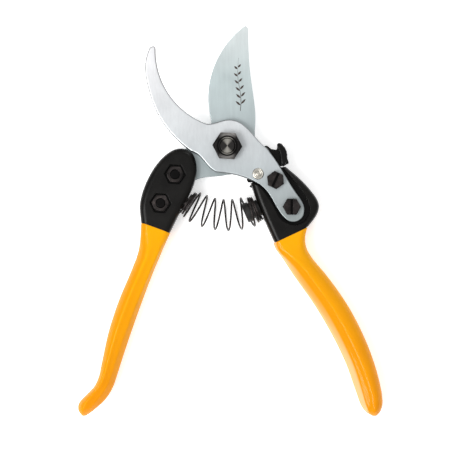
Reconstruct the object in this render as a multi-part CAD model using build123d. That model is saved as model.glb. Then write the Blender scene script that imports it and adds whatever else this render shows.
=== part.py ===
from build123d import *
from math import cos, pi, radians, sin, tan
import os

# Bypass pruning shears lying open, with the counter blade uppermost.
# The pivot axis is +Z through the origin, the jaws point to +Y and the handles to -Y.
# z = 0 is the plane that the shears rest on. All sizes are in millimetres.

# Layers, counted up from the resting plane
JOINT_Z = 8.0
RUNNING_GAP = 0.05
BLADE_THICKNESS = 3.5
HOOK_THICKNESS = 4.5
HEAD_THICKNESS = 14.0
GRIP_THICKNESS = 16.0
GRIP_CORNER = 5.0
CORE_WIDTH_SHARE = 0.6
CORE_THICKNESS = 8.0
GRIP_END_Y = -136.3
END_FLATNESS = 1.45
HEAD_ROUNDING = 3.0

BLADE_FRONT = JOINT_Z - RUNNING_GAP
BLADE_BACK = BLADE_FRONT - BLADE_THICKNESS
HOOK_BACK = JOINT_Z + RUNNING_GAP
HOOK_FRONT = HOOK_BACK + HOOK_THICKNESS
HEAD_BACK = JOINT_Z - HEAD_THICKNESS / 2
HEAD_FRONT = JOINT_Z + HEAD_THICKNESS / 2
GRIP_BACK = JOINT_Z - GRIP_THICKNESS / 2

# Jaws
EDGE_CENTRE = (36.2, 24.7)
EDGE_RADIUS = 45.8
BEVEL_WIDTH = 8.5
HUB_RADIUS = 14.2
LOCK_SLOT_RADIUS = 1.6
LOCK_SLOT_CENTRE = 13.6
LOCK_SLOT_ANGLES = (0.4, -44.6)
HOOK_EDGE_ROUNDING = 0.7

# Pivot
PIVOT_BOLT_RADIUS = 4.0
PIVOT_HEX = 13.0
PIVOT_HEAD_HEIGHT = 3.65
PIVOT_NUT_HEIGHT = 6.5
PIVOT_WASHER_RADIUS = 7.6
PIVOT_WASHER_THICKNESS = 0.75
BUSH_RADIUS = 5.0

# Plate fasteners, M5
PLATE_BOLT_RADIUS = 2.5
PLATE_HOLE_RADIUS = 2.6
PLATE_HEX = 8.0
PLATE_HEAD_HEIGHT = 3.5
PLATE_NUT_HEIGHT = 4.0
NUT_POCKET_HEX = 9.6
NUT_POCKET_DEPTH = 4.4
SLOT_WIDTH = 1.2
SLOT_DEPTH = 1.3
CHAMFER_ANGLE = radians(30)
BOLT_END_CHAMFER = 0.4
NUT_BELOW_FACE = 0.2
BLADE_BOLTS = {"upper": (-26.3, -14.2), "lower": (-33.6, -28.7)}
HOOK_BOLTS = {"upper": (24.2, -17.1), "lower": (32.4, -30.5)}
HOOK_BOLT_TURN = {"upper": -25.0, "lower": 0.0}

# Latch
RIVET_AT = (15.5, -13.9)
RIVET_RADIUS = 1.9
RIVET_FLANGE_RADIUS = 2.9
RIVET_FLANGE_HEIGHT = 0.7
RIVET_BORE_RADIUS = 1.0
LATCH_THICKNESS = 2.4
LATCH_FRONT = JOINT_Z - 0.15
LATCH_BACK = LATCH_FRONT - LATCH_THICKNESS
LATCH_WASHER_RADIUS = 3.4
LATCH_WASHER_THICKNESS = 0.5
LATCH_PLAY = 0.1
LATCH_POCKET_RADIUS = 4.9
LATCH_TAIL_ROOM = 7.4
TAB_FROM = (25.3, 0.9)
TAB_TO = (28.6, -9.5)
TAB_TOP = 14.2
TAB_THICKNESS = 1.8
TAB_LEAN = 0.9

# Spring and its posts, on a circle about the pivot
SPRING_CIRCLE = 34.7
LEFT_SEAT_ANGLE = 233.2
RIGHT_SEAT_ANGLE = 297.7
WIRE_RADIUS = 0.47
POST_RADIUS = 2.0
LEFT_POST_DEPTH = 1.8
RIGHT_POST_DEPTH = 5.0
SEAT_RADIUS = 7.4
BOSS_RADIUS = 4.6
BOSS_HEIGHT = 2.8
BUMPER_NECK_RADIUS = 4.2
BUMPER_NECK_LENGTH = 4.6
BUMPER_RADIUS = 5.0
BUMPER_HEAD_LENGTH = 3.4


def closed_face(*curves):
    """A flat face inside curves that meet end to end."""
    return make_face(Curve() + list(curves))


def plate(face, low, high):
    """A flat face made into a plate between two heights."""
    return Pos(0, 0, low) * extrude(face, high - low)


def drill(centre, radius, low, high):
    """A round cutter between two heights."""
    return Pos(centre[0], centre[1], low) * extrude(Circle(radius), high - low)


def hexagon(across_flats, turn=0.0):
    """A hexagon with its corners to the left and right before it is turned."""
    return RegularPolygon(across_flats / 2, 6, major_radius=False, rotation=turn)


def soften(solid, radius, low=True):
    """Round a plate's curved outline on its upper face, and by default on its lower face too."""
    groups = solid.edges().group_by(Axis.Z)
    edges = groups[-1] + groups[0] if low else groups[-1]
    return fillet([edge for edge in edges if edge.geom_type != GeomType.LINE], radius)


def hex_blank(across_flats, height, turn=0.0, chamfer_both=False):
    """A hexagonal prism with the usual 30 degree turned chamfer on its top."""
    top_radius = across_flats * 0.475
    foot_radius = top_radius + height / tan(CHAMFER_ANGLE)
    cone = Cone(foot_radius, top_radius, height, align=(Align.CENTER, Align.CENTER, Align.MIN))
    blank = extrude(hexagon(across_flats, turn), height) & cone
    if chamfer_both:
        blank = blank & (Pos(0, 0, height) * Rot(180, 0, 0) * cone)
    return blank


# ---------------------------------------------------------------- outlines

def blade_face():
    tip_inner = (9.3, 61.3)
    tip_outer = (10.6, 60.0)
    heel = (-8.0, 12.0)
    edge_middle = (-9.0, 32.0)
    spine_foot = (13.9, 8.0)
    hub_right = (HUB_RADIUS, 0)
    hub_bottom = (0, -HUB_RADIUS)
    hub_corner = (HUB_RADIUS * cos(radians(-45)), HUB_RADIUS * sin(radians(-45)))
    tang = [
        hub_bottom, (-7.5, -15.2), (-15, -16.5), (-19.5, -19.6), (-23, -25.5), (-27.5, -33.4), (-31, -36.7),
        (-35, -37.3), (-39, -34.0), (-39.2, -26.5), (-35.4, -15.5), (-29, -7.5), (-19, 0.5), heel,
    ]
    return closed_face(
        ThreePointArc(heel, edge_middle, tip_inner),
        Line(tip_inner, tip_outer),
        Spline(tip_outer, (10.8, 48), (12, 34), (13.7, 22), spine_foot),
        Line(spine_foot, hub_right),
        ThreePointArc(hub_right, hub_corner, hub_bottom),
        Spline(*tang),
    )


def hook_face():
    jaw_start = (-10.5, 11.3)
    jaw_end = (-36.2, 49.0)
    point_left = (-39.6, 48.6)
    heel = (-18, -2.7)
    hub_left = (-5.5, -13.1)
    end_left = (29.0, -36.6)
    end_right = (38.6, -35.0)
    shoulder = (20, -1)
    return closed_face(
        ThreePointArc(jaw_start, (-29.2, 25.8), jaw_end),
        Spline(jaw_end, (-36.9, 50.4), (-38.4, 50.2), point_left),
        Spline(point_left, (-41.4, 41.5), (-40.3, 31), (-35.1, 16.2), (-26.8, 4.8), heel),
        Spline(heel, (-13, -6.0), (-9.2, -10.5), hub_left),
        Spline(hub_left, (0, -13.7), (6, -14.9), (14, -18.2), (19, -22), (25, -31.5), end_left),
        ThreePointArc(end_left, (33.6, -38.4), end_right),
        Spline(end_right, (38.8, -30), (35, -23.5), (26, -9), shoulder),
        Spline(shoulder, (10, 9.2), (5.5, 12.4), (0, 13.4), (-5.5, 12.0), jaw_start),
    )


def left_head_face():
    outer_foot = (-43.3, -43.0)
    inner_foot = (-31.2, -47.5)
    sides = [
        inner_foot, (-28.9, -43.4), (-24.5, -34.5), (-18, -22), (-15.6, -14), (-15.8, -8), (-18.1, -3.2),
        (-24.5, -1.2), (-31, -4.3), (-38.5, -13.5), (-43, -24), (-44.1, -30), (-43.4, -38.6), outer_foot,
    ]
    return closed_face(Spline(*sides), Line(outer_foot, inner_foot))


def right_head_face():
    inner_foot = (25.4, -52.0)
    outer_foot = (39.0, -44.5)
    inner_top = (11.6, -17.8)
    outer_top = (29.5, -10.4)
    return closed_face(
        Spline(inner_foot, (23.7, -48.3), (20, -40), (13.9, -25), inner_top),
        Polyline(inner_top, (13.5, -15.6), (20.6, -13.6), (23.0, -11.4), (26.5, -10.5), outer_top),
        Spline(outer_top, (35, -15), (43, -23.5), (46.2, -30), (43.5, -37), (40.9, -40.3), outer_foot),
        Line(outer_foot, inner_foot),
    )


# Rows down each grip: y, then x at its left and right side
LEFT_GRIP_ROWS = [
    (-34, -42.7, -25.4), (-44, -43.6, -29.4), (-54, -45.2, -33.4), (-62, -48.2, -36.8),
    (-78, -54.9, -42.9), (-94, -60.1, -48.6), (-110, -63.6, -53.9), (-117, -65.2, -56.1),
    (-121.5, -67.4, -57.7), (-125.5, -71.2, -59.9), (-129.5, -74.9, -63.1), (-132.5, -75.5, -66.6),
    (-136.3, -73.9, -71.0),
]
RIGHT_GRIP_ROWS = [
    (-34, 19.0, 43.6), (-41, 21.0, 40.1), (-47, 23.1, 39.1), (-52, 24.9, 40.2),
    (-56.5, 27.9, 43.0), (-64, 32.8, 49.3), (-80, 44.0, 60.7), (-96, 53.4, 69.1),
    (-112, 60.9, 75.1), (-120, 63.7, 77.2), (-126, 65.8, 78.3), (-131, 67.7, 78.4),
    (-134, 69.8, 77.4), (-136.3, 72.6, 76.2),
]
# Where the coating begins: from the outer side of each handle to the inner side
LEFT_DIP_LINE = [(-50, -36.2), (-43.3, -38.6), (-36, -41.5), (-29, -43.8), (-22, -46.5)]
RIGHT_DIP_LINE = [(17, -50.6), (23.6, -48.4), (30, -46.3), (37, -42.5), (41, -40.2), (48, -35.8)]


def recess_face():
    """The pocket in the right head that takes the counter blade, wider along its outer side."""
    floor = [
        (6, -17.0), (11, -18.2), (16, -20.5), (19.4, -24.5), (23.9, -31.7), (27, -36.9), (33.5, -39.8),
        (39.2, -37.8), (41.6, -32), (38.9, -24.3), (30.2, -13.2), (24, -4),
    ]
    return closed_face(Spline(*floor), Line((24, -4), (6, 8)), Line((6, 8), (6, -17.0)))


def tang_room_face():
    """The pocket in the left head that takes the cutting blade's tang."""
    floor = [
        (-8, -16.8), (-15, -17.4), (-19.2, -20.6), (-22.3, -25.9), (-26.8, -34.1), (-30.7, -37.9),
        (-35.3, -38.6), (-40.3, -34.8), (-40.7, -26.4), (-36.8, -14.8), (-30.2, -6.3), (-22, 2),
    ]
    return closed_face(Spline(*floor), Line((-22, 2), (-8, 8)), Line((-8, 8), (-8, -16.8)))


def latch_face():
    corners = [
        (18.7, 0.4), (20.2, 0.5), (22.2, -1.2), (25.0, -1.7), (25.3, 0.9), (27.2, 0.9),
        (30.0, -9.4), (27.2, -9.9), (22.6, -10.6), (19.4, -13.2), (18.4, -16.6), (15.6, -17.8),
        (10.6, -18.2), (9.7, -16.7), (11.9, -14.2), (13.0, -11.2), (16.6, -9.2), (19.3, -6.0),
        (20.7, -2.8), (19.2, -1.6),
    ]
    return make_face(FilletPolyline(*corners, radius=0.6, close=True))


# ---------------------------------------------------------------- jaws

def bevel_cutter():
    """The ring outside a cone about the centre of the edge's arc, kept to the length of the edge."""
    from_low = (Align.CENTER, Align.CENTER, Align.MIN)
    cone = Cone(EDGE_RADIUS - BEVEL_WIDTH, EDGE_RADIUS, BLADE_THICKNESS, align=from_low)
    cone = Pos(*EDGE_CENTRE, BLADE_BACK) * cone
    reach = Pos(*EDGE_CENTRE, BLADE_BACK) * extrude(Circle(EDGE_RADIUS + 6), BLADE_THICKNESS)
    along_edge = Pos(-10, 44, BLADE_BACK) * extrude(Rectangle(60, 62), BLADE_THICKNESS)
    return (reach - cone) & along_edge


def cutting_blade():
    blade = plate(blade_face(), BLADE_BACK, BLADE_FRONT) - bevel_cutter()
    blade -= drill((0, 0), BUSH_RADIUS, BLADE_BACK - 1, BLADE_FRONT + 1)
    for bolt_at in BLADE_BOLTS.values():
        blade -= drill(bolt_at, PLATE_HOLE_RADIUS, BLADE_BACK - 1, BLADE_FRONT + 1)
    for angle in LOCK_SLOT_ANGLES:
        slot = SlotCenterToCenter(8, 2 * LOCK_SLOT_RADIUS)
        slot = Rot(0, 0, angle) * Pos(LOCK_SLOT_CENTRE + 4, 0) * slot
        blade -= plate(slot, BLADE_BACK - 1, BLADE_FRONT + 1)
    return blade


def hook_blade():
    hook = soften(plate(hook_face(), HOOK_BACK, HOOK_FRONT), HOOK_EDGE_ROUNDING, low=False)
    hook -= drill((0, 0), PIVOT_BOLT_RADIUS, HOOK_BACK - 1, HOOK_FRONT + 1)
    hook -= drill(RIVET_AT, RIVET_RADIUS, HOOK_BACK - 1, HOOK_FRONT + 1)
    for bolt_at in HOOK_BOLTS.values():
        hook -= drill(bolt_at, PLATE_HOLE_RADIUS, HOOK_BACK - 1, HOOK_FRONT + 1)
    return hook


# ---------------------------------------------------------------- fasteners

def pivot_bolt():
    head = Rot(180, 0, 0) * hex_blank(PIVOT_HEX, PIVOT_HEAD_HEIGHT)
    head = Pos(0, 0, PIVOT_HEAD_HEIGHT) * head
    shank_top = HOOK_FRONT + PIVOT_NUT_HEIGHT
    shank = drill((0, 0), PIVOT_BOLT_RADIUS, PIVOT_HEAD_HEIGHT, shank_top)
    shank = chamfer(shank.edges().group_by(Axis.Z)[-1], 0.5)
    return head + shank


def pivot_nut():
    nut = hex_blank(PIVOT_HEX, PIVOT_NUT_HEIGHT, turn=-3)
    bore = drill((0, 0), PIVOT_BOLT_RADIUS, -1, PIVOT_NUT_HEIGHT + 1)
    return Pos(0, 0, HOOK_FRONT) * (nut - bore)


def pivot_washer():
    top = BLADE_BACK - RUNNING_GAP
    ring = Circle(PIVOT_WASHER_RADIUS) - Circle(PIVOT_BOLT_RADIUS + 0.2)
    return plate(ring, top - PIVOT_WASHER_THICKNESS, top)


def pivot_bush():
    ring = Circle(BUSH_RADIUS) - Circle(PIVOT_BOLT_RADIUS + RUNNING_GAP)
    return plate(ring, BLADE_BACK, BLADE_FRONT)


def plate_bolt(turn, length):
    """A slotted hexagon bolt: the underside of its head at z = 0, its shank down to -length."""
    head = hex_blank(PLATE_HEX, PLATE_HEAD_HEIGHT, turn)
    slot = Rot(0, 0, turn) * Box(SLOT_WIDTH, 2 * PLATE_HEX, SLOT_DEPTH)
    slot = Pos(0, 0, PLATE_HEAD_HEIGHT - SLOT_DEPTH / 2) * slot
    shank = chamfer(drill((0, 0), PLATE_BOLT_RADIUS, -length, 0).edges().group_by(Axis.Z)[0], BOLT_END_CHAMFER)
    return head - slot + shank


def plate_nut():
    nut = hex_blank(PLATE_HEX, PLATE_NUT_HEIGHT, chamfer_both=True)
    return nut - drill((0, 0), PLATE_BOLT_RADIUS, -1, PLATE_NUT_HEIGHT + 1)


# ---------------------------------------------------------------- handles

def spring_circle_point(angle):
    return Vector(SPRING_CIRCLE * cos(radians(angle)), SPRING_CIRCLE * sin(radians(angle)), JOINT_Z)


def seat_plane(seat_angle, towards_angle):
    """A plane on a spring seat whose normal points along the chord into the spring."""
    start = spring_circle_point(seat_angle)
    return Plane(origin=start, z_dir=spring_circle_point(towards_angle) - start)


LEFT_SEAT = seat_plane(LEFT_SEAT_ANGLE, LEFT_SEAT_ANGLE + 6)
RIGHT_SEAT = seat_plane(RIGHT_SEAT_ANGLE, RIGHT_SEAT_ANGLE - 8)


def seat_cutter(plane, depth):
    """A flat for the end coil and a blind hole for the post."""
    flat = plane * extrude(Circle(SEAT_RADIUS), 6)
    hole = plane * Pos(0, 0, -depth) * extrude(Circle(POST_RADIUS), depth)
    return flat + hole


def grip_section(row, thickness, width_share=1.0):
    """A rounded rectangle across one row of a grip, with a share of the row's width."""
    y, left, right = row
    width = (right - left) * width_share
    height = min(thickness, width * END_FLATNESS)
    corner = min(GRIP_CORNER, width * 0.45, height * 0.45)
    middle = Plane(origin=((left + right) / 2, y, JOINT_Z), x_dir=(1, 0, 0), z_dir=(0, -1, 0))
    return middle * RectangleRounded(width, height, corner)


def below_dip_line(dip_line):
    """Everything below a dip line, over the thickness of the grips."""
    first, last = dip_line[0], dip_line[-1]
    low = GRIP_END_Y - 10
    below = closed_face(
        Spline(*dip_line),
        Line(last, (last[0] + 80, low)),
        Line((last[0] + 80, low), (first[0] - 80, low)),
        Line((first[0] - 80, low), first),
    )
    return plate(below, GRIP_BACK, GRIP_BACK + GRIP_THICKNESS)


def grip_solid(rows, dip_line):
    """The coating's outer shape below its dip line, filled."""
    whole = loft([grip_section(row, GRIP_THICKNESS) for row in rows])
    return whole & below_dip_line(dip_line)


def handle_blank(head_face, rows, dip_line):
    """The casting: a black head, and a core that runs down inside the grip."""
    head = soften(plate(head_face, HEAD_BACK, HEAD_FRONT), HEAD_ROUNDING)
    head -= below_dip_line(dip_line)
    core = loft([grip_section(row, CORE_THICKNESS, CORE_WIDTH_SHARE) for row in rows[:-4]])
    return head + core


def left_handle():
    handle = handle_blank(left_head_face(), LEFT_GRIP_ROWS, LEFT_DIP_LINE)
    handle -= plate(tang_room_face(), HEAD_BACK - 1, BLADE_FRONT)
    handle -= seat_cutter(LEFT_SEAT, LEFT_POST_DEPTH)
    for bolt_at in BLADE_BOLTS.values():
        handle -= drill(bolt_at, PLATE_HOLE_RADIUS, 0, HEAD_FRONT + 1)
        pocket = Pos(*bolt_at) * hexagon(NUT_POCKET_HEX, -4)
        handle -= plate(pocket, HEAD_FRONT - NUT_POCKET_DEPTH, HEAD_FRONT + 1)
    return handle


def right_handle():
    handle = handle_blank(right_head_face(), RIGHT_GRIP_ROWS, RIGHT_DIP_LINE)
    handle -= plate(recess_face(), HOOK_BACK, HEAD_FRONT + 1)
    handle -= drill(RIVET_AT, LATCH_POCKET_RADIUS, HEAD_BACK - 1, HOOK_BACK)
    left_half = Pos(RIVET_AT[0] - 5, RIVET_AT[1]) * Rectangle(10, 20)
    tail_room = Pos(*RIVET_AT) * Circle(LATCH_TAIL_ROOM) & left_half
    handle -= plate(tail_room, HEAD_BACK - 1, HOOK_BACK)
    handle -= seat_cutter(RIGHT_SEAT, RIGHT_POST_DEPTH)
    for bolt_at in HOOK_BOLTS.values():
        handle -= drill(bolt_at, PLATE_HOLE_RADIUS, 0, HEAD_FRONT + 1)
        pocket = Pos(*bolt_at) * hexagon(NUT_POCKET_HEX)
        handle -= plate(pocket, HEAD_BACK - 1, HEAD_BACK + NUT_POCKET_DEPTH)
    return handle


# ---------------------------------------------------------------- latch

def latch_lever():
    lever = plate(latch_face(), LATCH_BACK, LATCH_FRONT)
    lever -= drill(RIVET_AT, RIVET_RADIUS + RUNNING_GAP, LATCH_BACK - 1, LATCH_FRONT + 1)
    along = Vector(TAB_TO[0] - TAB_FROM[0], TAB_TO[1] - TAB_FROM[1], 0)
    outward = Vector(-along.Y, along.X, 0)
    profile_plane = Plane(origin=(*TAB_FROM, 0), x_dir=outward, z_dir=along)
    profile = Polyline(
        (0, LATCH_BACK), (TAB_THICKNESS, LATCH_BACK), (TAB_THICKNESS, LATCH_FRONT),
        (TAB_THICKNESS + TAB_LEAN, TAB_TOP), (TAB_LEAN, TAB_TOP), (0, LATCH_FRONT), close=True,
    )
    tab = extrude(profile_plane * make_face(profile), along.length)
    tab = fillet(tab.edges().group_by(Axis.Z)[-1], 0.7)
    return lever + (tab & tab_side_view(along, outward))


def tab_side_view(along, outward):
    """The thumb tab's rounded shape from the side, as a cutter."""
    start = (0, LATCH_BACK)
    finish = (along.length, LATCH_BACK)
    near_corner = [(0, TAB_TOP - 5), (1.5, TAB_TOP - 1.5), (5, TAB_TOP)]
    far_corner = [
        (along.length - 2.5, TAB_TOP),
        (along.length - 0.7, TAB_TOP - 0.7),
        (along.length, TAB_TOP - 2.5),
    ]
    shape = closed_face(
        Line(start, near_corner[0]),
        ThreePointArc(*near_corner),
        Line(near_corner[-1], far_corner[0]),
        ThreePointArc(*far_corner),
        Line(far_corner[-1], finish),
        Line(finish, start),
    )
    side = Plane(origin=Vector(*TAB_FROM, 0) + outward.normalized() * 10, x_dir=along, z_dir=-outward)
    return extrude(side * shape, 20)


def latch_rivet():
    back = LATCH_BACK - LATCH_WASHER_THICKNESS - LATCH_PLAY
    front_flange = drill(RIVET_AT, RIVET_FLANGE_RADIUS, HOOK_FRONT, HOOK_FRONT + RIVET_FLANGE_HEIGHT)
    front_flange = fillet(front_flange.edges().group_by(Axis.Z)[-1], 0.4)
    back_flange = drill(RIVET_AT, RIVET_FLANGE_RADIUS, back - RIVET_FLANGE_HEIGHT, back)
    shank = drill(RIVET_AT, RIVET_RADIUS, back, HOOK_FRONT)
    return front_flange + back_flange + shank - drill(RIVET_AT, RIVET_BORE_RADIUS, 0, HOOK_FRONT + 2)


def latch_washer():
    ring = Pos(*RIVET_AT) * (Circle(LATCH_WASHER_RADIUS) - Circle(RIVET_RADIUS + 0.1))
    top = LATCH_BACK - LATCH_PLAY
    return plate(ring, top - LATCH_WASHER_THICKNESS, top)


# ---------------------------------------------------------------- spring

def left_spring_post():
    pin = Pos(0, 0, -LEFT_POST_DEPTH) * extrude(Circle(POST_RADIUS), LEFT_POST_DEPTH)
    boss = fillet(extrude(Circle(BOSS_RADIUS), BOSS_HEIGHT).edges().group_by(Axis.Z)[-1], 0.8)
    return LEFT_SEAT * (pin + boss)


def right_spring_post():
    length = RIGHT_POST_DEPTH + BUMPER_NECK_LENGTH + 1.5
    return RIGHT_SEAT * Pos(0, 0, -RIGHT_POST_DEPTH) * extrude(Circle(POST_RADIUS), length)


def bumper():
    neck = extrude(Circle(BUMPER_NECK_RADIUS), BUMPER_NECK_LENGTH)
    head = Pos(0, 0, BUMPER_NECK_LENGTH) * extrude(Circle(BUMPER_RADIUS), BUMPER_HEAD_LENGTH)
    head = fillet(head.edges().filter_by(GeomType.CIRCLE), 0.6)
    bore = Pos(0, 0, -1) * extrude(Circle(POST_RADIUS), BUMPER_NECK_LENGTH + 2.5)
    return RIGHT_SEAT * (neck + head - bore)


# Turns of the spring from its left end, with the angle about the pivot and the coil's radius there
SPRING_STATIONS = [
    (0.0, 234.6, 6.0),
    (1.6, 237.2, 6.1),
    (2.3, 238.9, 7.4),
    (3.0, 243.1, 7.75),
    (8.0, 289.2, 7.75),
    (8.6, 292.0, 6.6),
    (11.0, 296.0, 6.0),
]
POINTS_PER_TURN = 6


def spring_station(turn):
    """The angle about the pivot and the coil's radius after so many turns, easing between stations."""
    for station_a, station_b in zip(SPRING_STATIONS, SPRING_STATIONS[1:]):
        turn_a, angle_a, radius_a = station_a
        turn_b, angle_b, radius_b = station_b
        if turn <= turn_b:
            share = (turn - turn_a) / (turn_b - turn_a)
            eased = share * share * (3 - 2 * share)
            return angle_a + share * (angle_b - angle_a), radius_a + eased * (radius_b - radius_a)


def spring_point(turn):
    angle, coil_radius = spring_station(turn)
    reach = SPRING_CIRCLE + coil_radius * cos(2 * pi * turn)
    height = JOINT_Z + coil_radius * sin(2 * pi * turn)
    return Vector(reach * cos(radians(angle)), reach * sin(radians(angle)), height)


def rounded_path(points):
    """Straight runs through the points, joined by tangent arcs."""
    edges = []
    start = points[0]
    for before, corner, after in zip(points, points[1:], points[2:]):
        arriving = (corner - before).normalized()
        leaving = (after - corner).normalized()
        setback = 0.45 * min((corner - before).length, (after - corner).length)
        arc_start = corner - arriving * setback
        arc_end = corner + leaving * setback
        edges.append(Edge.make_line(start, arc_start))
        edges.append(Edge.make_tangent_arc(arc_start, arriving, arc_end))
        start = arc_end
    edges.append(Edge.make_line(start, points[-1]))
    return Wire(edges)


def coil_spring():
    count = int(SPRING_STATIONS[-1][0] * POINTS_PER_TURN)
    points = [spring_point(n / POINTS_PER_TURN) for n in range(count + 1)]
    path = rounded_path(points)
    section = Plane(origin=points[0], z_dir=points[1] - points[0]) * Circle(WIRE_RADIUS)
    return sweep(section, path=path)


# ---------------------------------------------------------------- all nodes

def all_nodes():
    handle_left = left_handle()
    handle_right = right_handle()
    nodes = {
        "cutting_blade": cutting_blade(),
        "hook_blade": hook_blade(),
        "left_handle": handle_left,
        "right_handle": handle_right,
        "left_grip": grip_solid(LEFT_GRIP_ROWS, LEFT_DIP_LINE) - handle_left,
        "right_grip": grip_solid(RIGHT_GRIP_ROWS, RIGHT_DIP_LINE) - handle_right,
        "pivot_bolt": pivot_bolt(),
        "pivot_nut": pivot_nut(),
        "pivot_washer": pivot_washer(),
        "pivot_bush": pivot_bush(),
        "latch_lever": latch_lever(),
        "latch_rivet": latch_rivet(),
        "latch_washer": latch_washer(),
        "left_spring_post": left_spring_post(),
        "right_spring_post": right_spring_post(),
        "bumper": bumper(),
        "coil_spring": coil_spring(),
    }
    nut_top = HEAD_FRONT - NUT_BELOW_FACE
    nut_bottom = HEAD_BACK + NUT_BELOW_FACE
    for place, bolt_at in BLADE_BOLTS.items():
        length = HEAD_FRONT - BLADE_BACK
        bolt = Rot(180, 0, 0) * plate_bolt(0, length)
        nut = Rot(0, 0, -4) * plate_nut()
        nodes[f"blade_bolt_{place}"] = Pos(*bolt_at, BLADE_BACK) * bolt
        nodes[f"blade_nut_{place}"] = Pos(*bolt_at, nut_top - PLATE_NUT_HEIGHT) * nut
    for place, bolt_at in HOOK_BOLTS.items():
        length = HOOK_FRONT - HEAD_BACK
        bolt = plate_bolt(HOOK_BOLT_TURN[place], length)
        nodes[f"hook_bolt_{place}"] = Pos(*bolt_at, HOOK_FRONT) * bolt
        nodes[f"hook_nut_{place}"] = Pos(*bolt_at, nut_bottom) * plate_nut()
    return nodes


os.makedirs("parts", exist_ok=True)
for name, solid in all_nodes().items():
    export_step(solid, f"parts/{name}.step")
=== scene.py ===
"""Pruning shears lying open on a white table: the looks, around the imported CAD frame. Lengths in metres."""

import math

import bmesh
import bpy
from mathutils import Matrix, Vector


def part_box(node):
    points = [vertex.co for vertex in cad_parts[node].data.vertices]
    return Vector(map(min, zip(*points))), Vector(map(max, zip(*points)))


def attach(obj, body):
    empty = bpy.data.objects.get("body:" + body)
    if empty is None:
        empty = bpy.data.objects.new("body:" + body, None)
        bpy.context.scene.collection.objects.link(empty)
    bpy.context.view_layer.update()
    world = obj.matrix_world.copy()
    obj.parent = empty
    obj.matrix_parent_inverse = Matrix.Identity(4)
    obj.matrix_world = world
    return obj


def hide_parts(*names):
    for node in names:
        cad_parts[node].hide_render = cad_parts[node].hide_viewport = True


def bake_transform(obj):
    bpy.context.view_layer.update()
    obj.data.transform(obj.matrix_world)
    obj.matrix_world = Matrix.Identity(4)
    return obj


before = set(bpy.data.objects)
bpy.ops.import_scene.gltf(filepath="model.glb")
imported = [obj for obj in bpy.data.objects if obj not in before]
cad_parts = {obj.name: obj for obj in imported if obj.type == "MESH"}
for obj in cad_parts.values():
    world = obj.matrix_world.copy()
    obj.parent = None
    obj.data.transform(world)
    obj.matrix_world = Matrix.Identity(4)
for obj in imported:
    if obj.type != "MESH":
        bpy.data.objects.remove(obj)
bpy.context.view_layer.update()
MM = 0.001
# The plane where the two blades meet, in millimetres above the table. It is also the middle of the handles
JOINT_Z = 8.0

# ------------------------------------------------------------------ camera

# The point below the camera, and the width that the picture takes in at the joint's plane
VIEW_CENTRE = (-0.66 * MM, -40.2 * MM)
VIEW_WIDTH = 228.7 * MM
CAMERA_DISTANCE = 1.0
SENSOR_WIDTH = 36


def add_camera():
    data = bpy.data.cameras.new("camera")
    data.sensor_width = SENSOR_WIDTH
    data.lens = SENSOR_WIDTH * CAMERA_DISTANCE / VIEW_WIDTH
    camera = bpy.data.objects.new("camera", data)
    camera.location = (*VIEW_CENTRE, CAMERA_DISTANCE + JOINT_Z * MM)
    bpy.context.scene.collection.objects.link(camera)
    bpy.context.scene.camera = camera


add_camera()

# ------------------------------------------------------------------ studio

SKY_STRENGTH = 0.78
# The sky's grey by the height of the direction, from 0 at the horizon to 1 straight up
SKY_GREYS = [(0.05, 0.55), (0.8, 1.0)]
# Name, place, width and power in watts
LIGHTS = [
    ("key", (-0.42, -0.22, 0.74), 0.40, 4.4),
    ("low_fill", (-0.55, -0.55, 0.35), 0.35, 1.7),
    ("rim", (0.35, 0.60, 0.45), 0.30, 1.0),
]
# This light would draw a white line along the counter blade's edge
NOT_IN_REFLECTIONS = "low_fill"
LIGHTS_AIM = Vector((0, -0.04, 0))
FLOOR_HALF_WIDTH = 1.6
FLOOR_HEIGHT = -0.2 * MM


def add_sky():
    world = bpy.data.worlds.new("studio")
    world.use_nodes = True
    nodes, links = world.node_tree.nodes, world.node_tree.links
    background = nodes["Background"]
    background.inputs["Strength"].default_value = SKY_STRENGTH
    direction = nodes.new("ShaderNodeTexCoord")
    parts = nodes.new("ShaderNodeSeparateXYZ")
    links.new(direction.outputs["Generated"], parts.inputs["Vector"])
    sky = nodes.new("ShaderNodeValToRGB")
    for element, (position, grey) in zip(sky.color_ramp.elements, SKY_GREYS):
        element.position = position
        element.color = (grey, grey, grey, 1)
    links.new(parts.outputs["Z"], sky.inputs["Fac"])
    links.new(sky.outputs["Color"], background.inputs["Color"])
    bpy.context.scene.world = world
    bpy.context.scene.view_settings.view_transform = "Standard"


def add_light(name, location, width, power):
    data = bpy.data.lights.new(name, "AREA")
    data.size = width
    data.energy = power
    light = bpy.data.objects.new(name, data)
    light.location = location
    light.rotation_mode = "QUATERNION"
    light.rotation_quaternion = (LIGHTS_AIM - Vector(location)).to_track_quat("-Z", "Y")
    light.visible_glossy = name != NOT_IN_REFLECTIONS
    bpy.context.scene.collection.objects.link(light)


def add_floor():
    half = FLOOR_HALF_WIDTH
    corners = [(-half, -half, 0), (half, -half, 0), (half, half, 0), (-half, half, 0)]
    mesh = bpy.data.meshes.new("floor")
    mesh.from_pydata(corners, [], [(0, 1, 2, 3)])
    floor = bpy.data.objects.new("floor", mesh)
    bpy.context.scene.collection.objects.link(floor)
    floor.location.z = FLOOR_HEIGHT
    floor.data.materials.append(floor_material())


def add_studio():
    add_sky()
    for light in LIGHTS:
        add_light(*light)
    add_floor()


# ------------------------------------------------------------------ material helpers

# A noise keeps mostly between these two values
NOISE_LOW = 0.3
NOISE_HIGH = 0.7
# The Mix node's share and its two colours, by their place among its inputs
MIX_SHARE, MIX_COLOUR_A, MIX_COLOUR_B = 0, 6, 7
MIX_RESULT = 2
BEVEL_SAMPLES = 6


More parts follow.
